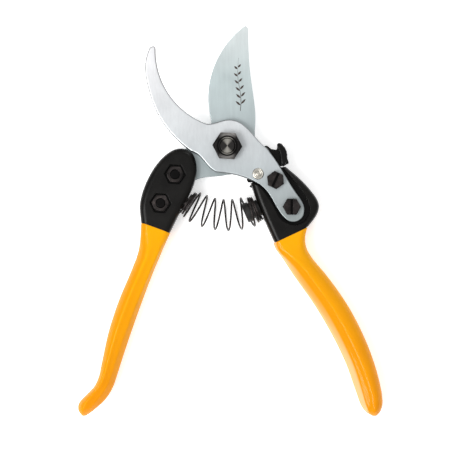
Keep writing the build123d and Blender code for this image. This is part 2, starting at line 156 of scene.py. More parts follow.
class Material:
    """A node material around one Principled shader, with short ways to add noise, ramps and bump."""

    def __init__(self, name, **sockets):
        self.material = bpy.data.materials.new(name)
        self.material.use_nodes = True
        self.nodes = self.material.node_tree.nodes
        self.links = self.material.node_tree.links
        self.shader = self.nodes["Principled BSDF"]
        for socket, value in sockets.items():
            self.shader.inputs[socket.replace("_", " ")].default_value = value
        self.place = self.nodes.new("ShaderNodeTexCoord").outputs["Object"]

    def link(self, output, node, socket):
        self.links.new(output, node.inputs[socket])

    def feed(self, value, node, socket):
        """Give a socket a number, a colour or another node's output."""
        if isinstance(value, float):
            node.inputs[socket].default_value = value
        elif isinstance(value, tuple):
            node.inputs[socket].default_value = (*value, 1)
        else:
            self.link(value, node, socket)

    def parts(self, vector):
        """The X, Y and Z of a vector."""
        node = self.nodes.new("ShaderNodeSeparateXYZ")
        self.link(vector, node, "Vector")
        return node.outputs["X"], node.outputs["Y"], node.outputs["Z"]

    def normal_parts(self, kind):
        """The X, Y and Z of the surface's direction, smoothed ("Normal") or face by face ("True Normal")."""
        return self.parts(self.nodes.new("ShaderNodeNewGeometry").outputs[kind])

    def mapped(self, scale, turn):
        mapping = self.nodes.new("ShaderNodeMapping")
        mapping.inputs["Scale"].default_value = scale
        mapping.inputs["Rotation"].default_value = (0, 0, turn)
        self.link(self.place, mapping, "Vector")
        return mapping.outputs["Vector"]

    def noise(self, scale, detail=4.0, roughness=0.55, place=None):
        noise = self.nodes.new("ShaderNodeTexNoise")
        noise.inputs["Scale"].default_value = scale
        noise.inputs["Detail"].default_value = detail
        noise.inputs["Roughness"].default_value = roughness
        self.link(place or self.place, noise, "Vector")
        return noise.outputs["Fac"]

    def ramp(self, value, *stops):
        """Stops are (position, colour or grey)."""
        ramp = self.nodes.new("ShaderNodeValToRGB")
        elements = ramp.color_ramp.elements
        while len(elements) < len(stops):
            elements.new(0.5)
        for element, (position, colour) in zip(elements, stops):
            element.position = position
            element.color = (colour, colour, colour, 1) if isinstance(colour, float) else (*colour, 1)
        self.link(value, ramp, "Fac")
        return ramp.outputs["Color"]

    def two_tone(self, noise, low, high):
        """From one colour or grey to another, over the values that a noise mostly takes."""
        return self.ramp(noise, (NOISE_LOW, low), (NOISE_HIGH, high))

    def range(self, value, low, high, from_low=NOISE_LOW, from_high=NOISE_HIGH):
        """From low to high as a value goes over its own range, which is a noise's unless given."""
        node = self.nodes.new("ShaderNodeMapRange")
        node.inputs["From Min"].default_value = from_low
        node.inputs["From Max"].default_value = from_high
        node.inputs["To Min"].default_value = low
        node.inputs["To Max"].default_value = high
        self.link(value, node, "Value")
        return node.outputs["Result"]

    def mix(self, share, colour_a, colour_b, blend_type="MIX"):
        node = self.nodes.new("ShaderNodeMix")
        node.data_type = "RGBA"
        node.blend_type = blend_type
        self.feed(share, node, MIX_SHARE)
        self.feed(colour_a, node, MIX_COLOUR_A)
        self.feed(colour_b, node, MIX_COLOUR_B)
        return node.outputs[MIX_RESULT]

    def multiply(self, colour_a, colour_b):
        return self.mix(1.0, colour_a, colour_b, "MULTIPLY")

    def maths(self, operation, a, b=0.0):
        node = self.nodes.new("ShaderNodeMath")
        node.operation = operation
        self.feed(a, node, 0)
        self.feed(b, node, 1)
        return node.outputs["Value"]

    def bump(self, *heights, rounding=0.0):
        """Bumps from (height, strength, depth) triples, over edges rounded by a bevel."""
        normal = None
        if rounding:
            bevel = self.nodes.new("ShaderNodeBevel")
            bevel.samples = BEVEL_SAMPLES
            bevel.inputs["Radius"].default_value = rounding
            normal = bevel.outputs["Normal"]
        for height, strength, depth in heights:
            bump = self.nodes.new("ShaderNodeBump")
            bump.inputs["Strength"].default_value = strength
            bump.inputs["Distance"].default_value = depth
            self.link(height, bump, "Height")
            if normal:
                self.link(normal, bump, "Normal")
            normal = bump.outputs["Normal"]
        self.link(normal, self.shader, "Normal")

    def colour(self, output):
        self.link(output, self.shader, "Base Color")

    def roughness(self, output):
        self.link(output, self.shader, "Roughness")


# ------------------------------------------------------------------ materials

# The bolt's end reaches this far from the pivot's axis, and the nut's face is painted out to the second one
BOLT_EDGE = 4.0 * MM
NUT_PAINT_EDGE = 6.0 * MM


def floor_material():
    """A white table that gives off a little light, so that it is as white as the photograph's background."""
    m = Material("white_table", Roughness=0.75, Specular_IOR_Level=0.2, Emission_Strength=0.42)
    m.shader.inputs["Emission Color"].default_value = (1, 1, 1, 1)
    m.colour(m.two_tone(m.noise(9.0), (0.985, 0.985, 0.985), (1.0, 1.0, 1.0)))
    return m.material


def steel(name, painted_light_keys, grain_turn, roughness, streak):
    """Satin ground steel with painted light, brighter towards its tip: grinding lines one way, faint clouds,
    and painted shade that darkens the cut sides.

    The painted light keys are (y in millimetres, colour), from the tail to the tip.
    """
    m = Material(name, Metallic=1.0)
    along_the_grain = m.mapped((1.0, streak, 1.0), grain_turn)
    lines = m.noise(900.0, 3.0, 0.6, along_the_grain)
    fine = m.noise(3200.0, 2.0, 0.5, along_the_grain)
    clouds = m.noise(60.0, 5.0, 0.6)
    _, y, _ = m.parts(m.place)
    # Painted light: the colour brightens from the tail to the tip
    tail, tip = painted_light_keys[0][0], painted_light_keys[-1][0]
    along = m.range(y, 0.0, 1.0, tail * MM, tip * MM)
    painted_light = m.ramp(along, *[((key - tail) / (tip - tail), colour) for key, colour in painted_light_keys])
    patches = m.mix(0.5, m.two_tone(lines, 0.86, 1.0), m.ramp(clouds, (0.25, 0.88), (0.65, 1.0)))
    # Painted shade: faces that are not flat, the cut sides and rounded edges, are darker
    _, _, up = m.normal_parts("True Normal")
    flatness = m.range(m.maths("ABSOLUTE", up), 0.0, 1.0, 0.35, 0.97)
    painted_side_shade = m.ramp(flatness, (0.0, 0.36), (0.85, 0.42), (1.0, 1.0))
    m.colour(m.multiply(m.multiply(painted_light, patches), painted_side_shade))
    m.roughness(m.range(clouds, roughness - 0.05, roughness + 0.06))
    m.bump((lines, 0.10, 0.02 * MM), (fine, 0.06, 0.01 * MM), rounding=0.25 * MM)
    return m.material


def head_paint():
    """Black satin paint on a die casting: slight orange peel, dust-grey rubbed patches."""
    m = Material("head_paint", Specular_IOR_Level=0.16)
    peel = m.noise(1400.0, 3.0, 0.5)
    wear = m.noise(90.0, 6.0, 0.65)
    m.colour(m.ramp(wear, (0.35, (0.0022, 0.0020, 0.0018)), (0.75, (0.0060, 0.0054, 0.0046))))
    m.roughness(m.range(wear, 0.22, 0.34))
    m.bump((peel, 0.12, 0.05 * MM), (wear, 0.10, 0.15 * MM), rounding=0.5 * MM)
    return m.material


def black_oxide(name, shade=1.0, painted_shade_from=None):
    """Blackened steel, worn to a brown-grey on its high spots, with painted shade that makes it almost black
    past a height.

    The last argument is (where the painted shade is black, where it has its own colour), in millimetres above
    the table.
    """
    m = Material(name, Metallic=0.85)
    grain = m.noise(1100.0, 5.0, 0.6)
    patches = m.noise(240.0, 4.0, 0.6)
    greys = [(0.3, (0.010, 0.009, 0.009)), (0.6, (0.032, 0.027, 0.026)), (0.8, (0.080, 0.066, 0.061))]
    colour = m.ramp(patches, *[(at, tuple(shade * part for part in grey)) for at, grey in greys])
    # Painted shade: almost black past the given height
    if painted_shade_from:
        _, _, z = m.parts(m.place)
        black_at, clear_at = painted_shade_from
        share = m.range(z, 0.0, 1.0, black_at * MM, clear_at * MM)
        colour = m.mix(share, (0.0018, 0.0016, 0.0016), colour)
    m.colour(colour)
    m.roughness(m.range(patches, 0.24, 0.42))
    m.bump((grain, 0.15, 0.03 * MM), rounding=0.3 * MM)
    return m.material


def round_the_pivot(m):
    """The distance from the pivot's axis, and the share of a painted highlight, 1 in front of and behind it,
    0 beside it.
    """
    x, y, _ = m.parts(m.place)
    across = m.maths("MULTIPLY", x, x)
    along = m.maths("MULTIPLY", y, y)
    squared = m.maths("MAXIMUM", m.maths("ADD", across, along), 1e-9)
    painted_highlight_share = m.range(m.maths("DIVIDE", along, squared), 0.0, 1.0, 0.45, 1.06)
    return m.maths("POWER", squared, 0.5), painted_highlight_share


def turned_steel_with_painted_highlight(m, from_axis, painted_highlight_share):
    """The colour and the noise of turned steel: grey rings, with a painted highlight in front of and behind
    the axis.
    """
    rings = m.nodes.new("ShaderNodeTexNoise")
    rings.noise_dimensions = "1D"
    rings.inputs["Scale"].default_value = 4200.0
    rings.inputs["Detail"].default_value = 3.0
    m.link(from_axis, rings, "W")
    ring_noise = rings.outputs["Fac"]
    # Painted highlight: the light copy is shown in front of and behind the axis, the dark one beside it
    dark = m.two_tone(ring_noise, (0.012, 0.011, 0.011), (0.05, 0.048, 0.046))
    light = m.two_tone(ring_noise, (0.26, 0.25, 0.225), (0.46, 0.44, 0.40))
    return m.mix(painted_highlight_share, dark, light), ring_noise


def bolt_end_steel():
    """The turned end of the pivot bolt, with a painted highlight in front of and behind the axis."""
    m = Material("bolt_end_steel", Metallic=1.0, Roughness=0.33)
    shade, ring_noise = turned_steel_with_painted_highlight(m, *round_the_pivot(m))
    m.colour(shade)
    m.bump((ring_noise, 0.4, 0.05 * MM), rounding=0.3 * MM)
    return m.material


def pivot_nut_steel():
    """Blackened steel with a turned ring next to the bolt, painted shade in a groove round it and painted
    highlights on the chamfers in front of and behind the axis.
    """
    m = Material("pivot_nut_steel", Metallic=0.9)
    patches = m.noise(240.0, 4.0, 0.6)
    from_axis, painted_highlight_share = round_the_pivot(m)
    # Painted highlight: the worn colour beside the axis, a lighter copy in front of and behind it
    worn = m.two_tone(patches, (0.008, 0.008, 0.008), (0.020, 0.018, 0.018))
    nut_painted_highlight = m.two_tone(patches, (0.16, 0.15, 0.145), (0.27, 0.26, 0.25))
    outside = m.mix(painted_highlight_share, worn, nut_painted_highlight)
    turned, ring_noise = turned_steel_with_painted_highlight(m, from_axis, painted_highlight_share)
    reach = m.range(from_axis, 0.0, 1.0, BOLT_EDGE, NUT_PAINT_EDGE)
    ring = m.ramp(reach, (0.14, 1.0), (0.20, 0.0))
    # Painted shade, almost black, in the groove round the turned ring
    groove = m.ramp(reach, (0.14, 0.0), (0.22, 1.0), (0.52, 1.0), (0.64, 0.0))
    groove_shaded = m.mix(groove, outside, (0.0025, 0.0023, 0.0023))
    m.colour(m.mix(ring, groove_shaded, turned))
    m.roughness(m.range(patches, 0.26, 0.40))
    m.bump((ring_noise, 0.1, 0.03 * MM), rounding=0.3 * MM)
    return m.material


def nickel():
    """Bright nickel plating on the rivet."""
    m = Material("nickel", Metallic=1.0)
    patches = m.noise(420.0, 4.0, 0.6)
    m.colour(m.two_tone(patches, (0.55, 0.52, 0.46), (0.61, 0.59, 0.53)))
    m.roughness(m.range(patches, 0.24, 0.30))
    m.bump((m.noise(1600.0), 0.04, 0.01 * MM))
    return m.material


def rubber():
    """Dull black rubber."""
    m = Material("rubber", Specular_IOR_Level=0.4)
    grain = m.noise(2200.0, 3.0, 0.5)
    m.colour(m.two_tone(m.noise(160.0), (0.006, 0.006, 0.006), (0.018, 0.017, 0.016)))
    m.roughness(m.range(grain, 0.42, 0.58))
    m.bump((grain, 0.2, 0.04 * MM), rounding=0.4 * MM)
    return m.material


def grip_vinyl():
    """Dipped vinyl with a soft sheen, and painted shade from warm yellow near the casting to orange near the
    end.

    The slope that faces left is deeper in colour with painted shade, and on the right grip the steeply
    sloping inner side is pale with a painted reflection.
    """
    m = Material(
        "grip_vinyl", Specular_IOR_Level=0.0, Sheen_Weight=0.22, Sheen_Roughness=0.45,
        Coat_Weight=0.25, Coat_Roughness=0.10, Coat_IOR=1.45, Sheen_Tint=(1.0, 0.74, 0.42, 1),
    )
    mottling = m.noise(55.0, 4.0, 0.5)
    fine = m.noise(900.0, 3.0, 0.5)
    x, y, _ = m.parts(m.place)
    # Painted shade: the colour deepens from yellow near the casting to orange towards the end
    painted_falloff_share = m.range(y, 0.0, 1.0, -50 * MM, -135 * MM)
    yellow = m.two_tone(mottling, (0.80, 0.335, 0.0003), (0.84, 0.365, 0.0004))
    orange = m.two_tone(mottling, (0.77, 0.255, 0.0002), (0.81, 0.285, 0.0003))
    # Painted shade on the slope that faces left, and a pale painted reflection on the right grip's steeply
    # sloping inner side
    right, _, _ = m.normal_parts("Normal")
    slope = m.range(right, 0.0, 0.85, -0.12, -0.45)
    slope_shaded = m.mix(slope, m.mix(painted_falloff_share, yellow, orange), (0.72, 0.245, 0.0003))
    on_right_grip = m.range(x, 0.0, 1.0, -5 * MM, 5 * MM)
    steep_painted_reflection = m.range(right, 0.0, 1.0, -0.55, -0.75)
    m.colour(m.mix(m.maths("MULTIPLY", steep_painted_reflection, on_right_grip), slope_shaded, (0.78, 0.44, 0.19)))
    m.roughness(m.range(fine, 0.34, 0.42))
    m.bump((mottling, 0.10, 0.20 * MM), (fine, 0.05, 0.02 * MM))
    return m.material


def etching():
    """The dark brown of a mark etched in steel."""
    m = Material("etched_mark", Metallic=0.5)
    grain = m.noise(1800.0, 4.0, 0.6)
    m.colour(m.two_tone(grain, (0.035, 0.025, 0.022), (0.085, 0.065, 0.058)))
    m.roughness(m.range(grain, 0.5, 0.7))
    m.bump((grain, 0.2, 0.02 * MM))
    return m.material


# Painted light, brighter towards the tip. From the tail to the tip: y in millimetres, colour
BLADE_PAINTED_LIGHT = [
    (-30, (0.32, 0.365, 0.37)), (10, (0.45, 0.51, 0.52)),
    (35, (0.60, 0.685, 0.69)), (58, (0.82, 0.88, 0.88)),
]
HOOK_PAINTED_LIGHT = [
    (-36, (0.34, 0.38, 0.38)), (-14, (0.50, 0.54, 0.555)),
    (6, (0.64, 0.665, 0.68)), (42, (0.82, 0.82, 0.835)),
]
# Painted shade on the hook bolts: black in their slots and on their sides, below the top of their heads
HOOK_BOLT_PAINTED_SHADE = (14.85, 15.2)
# The blade bolts lie the other way up, so their painted shade is black above the face of their heads
BLADE_BOLT_PAINTED_SHADE = (2.15, 1.8)

NICKEL = nickel()
VINYL = grip_vinyl()
OXIDE = black_oxide("black_oxide")
WIRE = black_oxide("spring_black", 1.3)
PAINT = head_paint()
HOOK_BOLT_OXIDE_AND_SHADE = black_oxide("hook_bolt_oxide_and_shade", 1.0, HOOK_BOLT_PAINTED_SHADE)
BLADE_BOLT_OXIDE_AND_SHADE = black_oxide("blade_bolt_oxide_and_shade", 1.0, BLADE_BOLT_PAINTED_SHADE)
# The materials of the CAD nodes. Any other node is plain black oxide
MATERIALS = {
    "cutting_blade": steel("blade_steel", BLADE_PAINTED_LIGHT, 0.15, 0.36, 0.06),
    "hook_blade": steel("hook_steel", HOOK_PAINTED_LIGHT, 0.9, 0.42, 0.25),
    "left_handle": PAINT,
    "right_handle": PAINT,
    "latch_lever": PAINT,
    "pivot_bolt": bolt_end_steel(),
    "pivot_nut": pivot_nut_steel(),
    "latch_rivet": NICKEL,
    "bumper": rubber(),
    "hook_bolt_upper": HOOK_BOLT_OXIDE_AND_SHADE,
    "hook_bolt_lower": HOOK_BOLT_OXIDE_AND_SHADE,
    "blade_bolt_upper": BLADE_BOLT_OXIDE_AND_SHADE,
    "blade_bolt_lower": BLADE_BOLT_OXIDE_AND_SHADE,
}

for node_name, cad_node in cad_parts.items():
    for material_slot in cad_node.material_slots:
        material_slot.material = MATERIALS.get(node_name, OXIDE)

# ------------------------------------------------------------------ mesh helpers

CURVE_STEPS = 24


def new_piece(name, vertices, faces, body, material, slot, smooth=True):
    """A piece from its mesh. A piece with no body is attached to none."""
    mesh = bpy.data.meshes.new(name)
    mesh.from_pydata(vertices, [], faces)
    mesh.validate()
    cleaner = bmesh.new()
    cleaner.from_mesh(mesh)
    bmesh.ops.recalc_face_normals(cleaner, faces=cleaner.faces)
    cleaner.to_mesh(mesh)
    cleaner.free()
    for polygon in mesh.polygons:
        polygon.use_smooth = smooth
    piece = bpy.data.objects.new(name, mesh)
    bpy.context.scene.collection.objects.link(piece)
    mesh.materials.append(material)
    if body:
        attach(piece, body)
    return piece


def keep_sharp(piece, degrees):
    """Keep the edges that bend by more than an angle sharp."""
    piece.data.set_sharp_from_angle(angle=math.radians(degrees))


def curve_number(a, b, c, d, t):
    """A Catmull-Rom curve's number between b and c, for t from 0 to 1."""
    squared = (2 * a - 5 * b + 4 * c - d) * t * t
    cubed = (3 * b - a - 3 * c + d) * t ** 3
    return 0.5 * (2 * b + (c - a) * t + squared + cubed)


def closed_curve(points, count):
    """A smooth closed curve through points, sampled evenly along its length."""
    total = len(points)
    fine = []
    for index in range(total):
        around = [points[(index + offset) % total] for offset in (-1, 0, 1, 2)]
        for step in range(CURVE_STEPS):
            fine.append(tuple(curve_number(*numbers, step / CURVE_STEPS) for numbers in zip(*around)))
    lengths = [0.0]
    for a, b in zip(fine, fine[1:] + fine[:1]):
        lengths.append(lengths[-1] + math.dist(a, b))
    samples = []
    span = 0
    for n in range(count):
        goal = lengths[-1] * n / count
        while lengths[span + 1] < goal:
            span += 1
        share = (goal - lengths[span]) / (lengths[span + 1] - lengths[span])
        a, b = fine[span], fine[(span + 1) % len(fine)]
        samples.append(tuple(u + (v - u) * share for u, v in zip(a, b)))
    return samples


def smooth_step(t):
    t = min(max(t, 0.0), 1.0)
    return t * t * (3 - 2 * t)


def joined(rings, closed=False):
    """The vertices and faces that join equal rings: a tube with flat ends, or a closed loop of rings."""
    count = len(rings[0])
    faces = []
    for k in range(len(rings) if closed else len(rings) - 1):
        here, there = k * count, (k + 1) % len(rings) * count
        for n in range(count):
            m = (n + 1) % count
            faces.append((here + n, here + m, there + m, there + n))
    if not closed:
        faces.append(tuple(range(count))[::-1])
        faces.append(tuple(range((len(rings) - 1) * count, len(rings) * count)))
    return [point for ring in rings for point in ring], faces


# ------------------------------------------------------------------ rivet

RIVET_AT = (15.5, -13.9)
RIVET_STEPS = 56


def at_rivet(radius, angle, z):
    """A point about the rivet's axis, from millimetres to metres."""
    x = RIVET_AT[0] + radius * math.cos(angle)
    y = RIVET_AT[1] + radius * math.sin(angle)
    return x * MM, y * MM, z * MM


def rivet():
    """A semi-tubular rivet: its rolled rim stands on the counter blade, its flange is behind the latch."""
    low, high = (corner.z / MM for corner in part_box("latch_rivet"))
    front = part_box("hook_blade")[1].z / MM
    # Radius and height, up the outside and down into the hollow
    profile = [
        (0.02, low), (2.75, low), (2.88, low + 0.12), (2.88, low + 0.5), (2.75, low + 0.62),
        (1.88, low + 0.7),
        (1.88, front - 0.02), (2.80, front - 0.02), (2.88, front + 0.10), (2.80, front + 0.30),
        (2.45, front + 0.52), (2.10, front + 0.50), (1.86, front + 0.40), (1.74, front + 0.46),
        (1.60, high - 0.06), (1.38, high), (1.18, high - 0.08), (1.06, high - 0.30), (0.95, high - 0.40),
        (0.60, high - 0.34), (0.30, high - 0.30), (0.02, high - 0.29),
    ]
    rings = []
    for n in range(RIVET_STEPS):
        angle = 2 * math.pi * n / RIVET_STEPS
        rings.append([at_rivet(radius, angle, z) for radius, z in profile])
    piece = new_piece("rivet_ring", *joined(rings, closed=True), "right_arm", NICKEL, "rivet_nickel")
    keep_sharp(piece, 50)
    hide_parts("latch_rivet")


rivet()

# ------------------------------------------------------------------ web behind the latch's tail

WEB_ANGLES = (236, 292)
WEB_INNER_RADIUS = 4.3
WEB_OUTER_RADIUS = 7.6
WEB_HEIGHTS = (1.6, 5.15)
WEB_STEPS = 20


def casting_web():
    """A thin web that closes the casting behind the latch's tail, a sector about the rivet."""
    first, last = WEB_ANGLES
    arc = [math.radians(first + (last - first) * n / WEB_STEPS) for n in range(WEB_STEPS + 1)]
    outline = [(WEB_OUTER_RADIUS, angle) for angle in arc]
    outline += [(WEB_INNER_RADIUS, angle) for angle in reversed(arc)]
    rings = [[at_rivet(radius, angle, height) for radius, angle in outline] for height in WEB_HEIGHTS]
    piece = new_piece("casting_web", *joined(rings), "right_arm", PAINT, "head_paint")
    keep_sharp(piece, 40)


casting_web()

# ------------------------------------------------------------------ thumb pad of the latch

# The pad's plan, around its outer side and back along its inner side, in millimetres
PAD_PLAN = [
    (25.1, 0.9), (25.9, 1.6), (27.2, 1.2), (28.9, -0.5), (30.0, -2.8), (30.3, -5.4), (30.0, -7.8),
    (29.2, -9.5), (28.3, -10.1), (27.3, -9.4), (26.9, -7.0), (26.6, -4.4), (25.9, -2.0), (25.2, -0.4),
]
PAD_POINTS = 96
PAD_LOW = 5.6
PAD_TOP = 14.6
# From the low end to the top: the share of the height, and the plan's scale there
PAD_LEVELS = [
    (0.0, 0.80), (0.12, 0.93), (0.5, 1.0), (0.85, 1.0),
    (0.94, 0.95), (0.985, 0.84), (1.0, 0.70), (1.0, 0.45),
]
# The ridges run up the outer side, to the right of a slightly slanted line through this point
OUTER_SIDE_AT = (27.6, -4.5)
OUTER_SIDE_SLANT = 0.14
PAD_RIDGES = 6
PAD_RIDGE_DEPTH = 0.13
PAD_RIDGES_FROM = -9.5
PAD_RIDGES_LENGTH = 10.5


def thumb_pad():
    """The ridged pad that the thumb pushes, moulded round the latch's bent tab."""
    plan = closed_curve(PAD_PLAN, PAD_POINTS)
    centre = Vector((sum(x for x, _ in plan) / len(plan), sum(y for _, y in plan) / len(plan)))
    rings = []
    for share, scale in PAD_LEVELS:
        height = PAD_LOW + (PAD_TOP - PAD_LOW) * share
        ring = []
        for x, y in plan:
            point = centre + (Vector((x, y)) - centre) * scale
            outer = smooth_step(x - OUTER_SIDE_AT[0] + OUTER_SIDE_SLANT * (y - OUTER_SIDE_AT[1]))
            ridges_passed = PAD_RIDGES * (y - PAD_RIDGES_FROM) / PAD_RIDGES_LENGTH
            wave = 0.5 - 0.5 * math.cos(2 * math.pi * ridges_passed)
            point.x -= PAD_RIDGE_DEPTH * outer * wave
            ring.append((point.x * MM, point.y * MM, height * MM))
        rings.append(ring)
    piece = new_piece("latch_pad", *joined(rings), "latch", PAINT, "latch_black")
    keep_sharp(piece, 60)


thumb_pad()

# ------------------------------------------------------------------ dipped grips

# Down each handle: y, then the left and the right side of its outline, in millimetres
LEFT_GRIP_ROWS = [
    (-34, -42.7, -25.4), (-44, -43.6, -29.4), (-54, -45.2, -33.4), (-62, -48.2, -36.8),
    (-78, -54.9, -42.9), (-94, -60.1, -48.6), (-110, -63.6, -53.9), (-117, -65.2, -56.1),
    (-121.5, -67.4, -57.7), (-125.5, -71.2, -59.9), (-129.5, -74.9, -63.1), (-132.5, -75.5, -66.6),
    (-136.3, -73.9, -71.0),
]
RIGHT_GRIP_ROWS = [
    (-34, 19.0, 43.6), (-41, 21.0, 40.1), (-47, 23.1, 39.1), (-52, 24.9, 40.2),
    (-56.5, 27.9, 43.0), (-64, 32.8, 49.3), (-80, 44.0, 60.7), (-96, 53.4, 69.1),
    (-112, 60.9, 75.1), (-120, 63.7, 77.2), (-126, 65.8, 78.3), (-131, 67.7, 78.4),
    (-134, 69.8, 77.4), (-136.3, 72.6, 76.2),
]
# Down each handle: y, then where the front's ridge and the foot of its inner slope lie across it, 0 to 1
LEFT_SHAPE = [
    (-40, 0.5, 0.1), (-62, 0.55, 0.12), (-85, 0.6, 0.2), (-110, 0.66, 0.3), (-125, 0.72, 0.34),
    (-137, 0.6, 0.3),
]
RIGHT_SHAPE = [
    (-40, 0.3, 0.08), (-52, 0.3, 0.08), (-60, 0.44, 0.22), (-75, 0.48, 0.28), (-93, 0.52, 0.26),
    (-105, 0.54, 0.25), (-115, 0.57, 0.25), (-128, 0.60, 0.22), (-137, 0.5, 0.2),
]
# The dip line of each handle: its middle, and its rise for each unit to the right
LEFT_DIP = (-36.0, -41.5, -0.364)
RIGHT_DIP = (30.5, -46.0, 0.47)
SECTION_POINTS = 48
# A section is first drawn with this many times its points, so that it can start at the right one
EXTRA_POINTS = 4
HALF_THICKNESS = 7.93
# A narrow grip is thinner too: half its thickness is at most its width times one number, plus another
THICKNESS_BY_WIDTH = (0.60, 2.4)
CASTING_HALF_THICKNESS = 7.0
CASTING_CORNER = 3.2
CORNER_STEPS = 4
# The lip where the coating starts: how high its rings are above the dip line, and how far they stand proud
LIP_PROUD = 0.3
LIP_RINGS = [
    (0.45, -0.9), (0.50, -0.25), (0.50, LIP_PROUD * 0.45), (0.34, LIP_PROUD * 0.85), (0.05, LIP_PROUD),
]
# The other rings: how far below the dip line the first is, the step, and how far the last is from the end
FIRST_RING = 0.6
RING_STEP = 1.1
LAST_RING = 3
# Over this length the rings lose the dip line's tilt. The section goes from the casting's to the sculpted
# one, the thickness from the casting's to the grip's and the lip down to nothing, each at its own rate
CHANGE_LENGTH = 15.0
SECTION_RATE = 0.95
THICKNESS_RATE = 1.2
LIP_RATE = 1.3
# The end is rounded over this length, by rings at these shares of it, down to these shares of the grip
END_LENGTH = 2.6
END_RINGS = (1.0, 0.72, 0.48, 0.28, 0.13, 0.03)
END_WIDTH = 0.35
END_THICKNESS = 0.25
# Enough rounds for a tilted ring's side to settle on the outline
SIDE_ROUNDS = 14


def slopes_at(rows, index):
    """How fast each number of a row changes with y, from the rows on both sides of it."""
    before, here, after = rows[max(index - 1, 0)], rows[index], rows[min(index + 1, len(rows) - 1)]
    if before is here or after is here:
        return [(b - a) / (after[0] - before[0]) for a, b in zip(before, after)][1:]
    step_a, step_b = here[0] - before[0], after[0] - here[0]
    return [
        ((b - a) / step_a * step_b + (c - b) / step_b * step_a) / (step_a + step_b)
        for a, b, c in zip(before[1:], here[1:], after[1:])
    ]


def at_y(rows, y):
    """A smooth curve through rows that start with y, counted downwards, straight beyond its ends."""
    y_in = min(max(y, rows[-1][0]), rows[0][0])
    index = 0
    while index < len(rows) - 2 and y_in < rows[index + 1][0]:
        index += 1
    a, b = rows[index], rows[index + 1]
    step = b[0] - a[0]
    t = (y_in - a[0]) / step
    values = []
    for p, q, m, n in zip(a[1:], b[1:], slopes_at(rows, index), slopes_at(rows, index + 1)):
        value = (2 * t ** 3 - 3 * t * t + 1) * p + (3 * t * t - 2 * t ** 3) * q
        value += step * ((t ** 3 - 2 * t * t + t) * m + (t ** 3 - t * t) * n)
        values.append(value + (y - y_in) * (m if y > y_in else n))
    return values


def sculpted_section(ridge, slope_foot, flip):
    """The section of a grip, across it from 0 to 1 and through it from -1 to 1, from its inner side."""
    middle = slope_foot + (ridge - slope_foot) * 0.5
    beyond = 1 - ridge
    front = [
        (0.0, 0.0), (0.05, 0.30), (slope_foot * 0.9, 0.70), (slope_foot * 1.1, 0.76), (middle, 0.84),
        (ridge - 0.03, 0.975), (ridge + 0.03, 0.985),
        (ridge + beyond * 0.45, 0.87), (ridge + beyond * 0.82, 0.55), (1.0, 0.1),
    ]
    back = [(0.97, -0.45), (0.84, -0.86), (0.5, -1.0), (0.16, -0.86), (0.03, -0.45)]
    points = [(1 - s, z) if flip else (s, z) for s, z in front + back]
    return points[::-1] if flip else points


def casting_section(width, height):
    """The rounded rectangle of the casting, in the same order and the same shares as a sculpted section."""
    right, top = width - CASTING_CORNER, height / 2 - CASTING_CORNER
    corners = [(CASTING_CORNER, top, 180), (right, top, 90), (right, -top, 0), (CASTING_CORNER, -top, -90)]
    points = []
    for centre_x, centre_z, start in corners:
        for step in range(CORNER_STEPS + 1):
            angle = math.radians(start - step * 90 / CORNER_STEPS)
            x = centre_x + CASTING_CORNER * math.cos(angle)
            z = centre_z + CASTING_CORNER * math.sin(angle)
            points.append((x / width, z / (height / 2)))
    return points


def even_section(outline):
    """A section as evenly spaced points, from the one nearest to the middle of its left side."""
    points = closed_curve(outline, SECTION_POINTS * EXTRA_POINTS)
    first = min(range(len(points)), key=lambda n: math.hypot(*points[n]))
    return (points[first:] + points[:first])[::EXTRA_POINTS]


